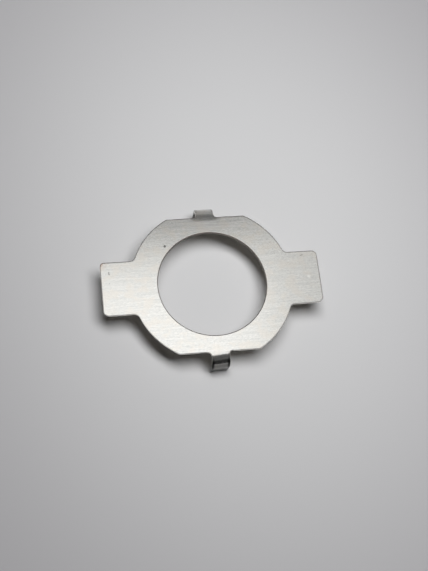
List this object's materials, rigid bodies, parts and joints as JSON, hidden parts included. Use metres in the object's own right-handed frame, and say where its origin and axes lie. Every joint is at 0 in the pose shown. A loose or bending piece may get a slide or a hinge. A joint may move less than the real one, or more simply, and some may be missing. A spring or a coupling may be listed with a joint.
{
  "type": "tab lock washer",
  "caption": "Flat steel lock washer with a large round hole, straight-cut sides, two wide flat wings and two narrow tabs folded down to keep a nut from turning.",
  "frame": {"origin": "on the axis of the hole, level with the tips of the folded tabs", "axes": "+Z along the axis of the hole and out of the upper face, +X along the two wings, +Y along the two folded tabs"},
  "size_m": [0.0812, 0.0618, 0.0094],
  "materials": {
    "satin_steel": "satin rolled sheet with faint lines along the wings"
  },
  "bodies": {
    "root": {"lock_washer": "satin_steel"}
  },
  "joints": []
}
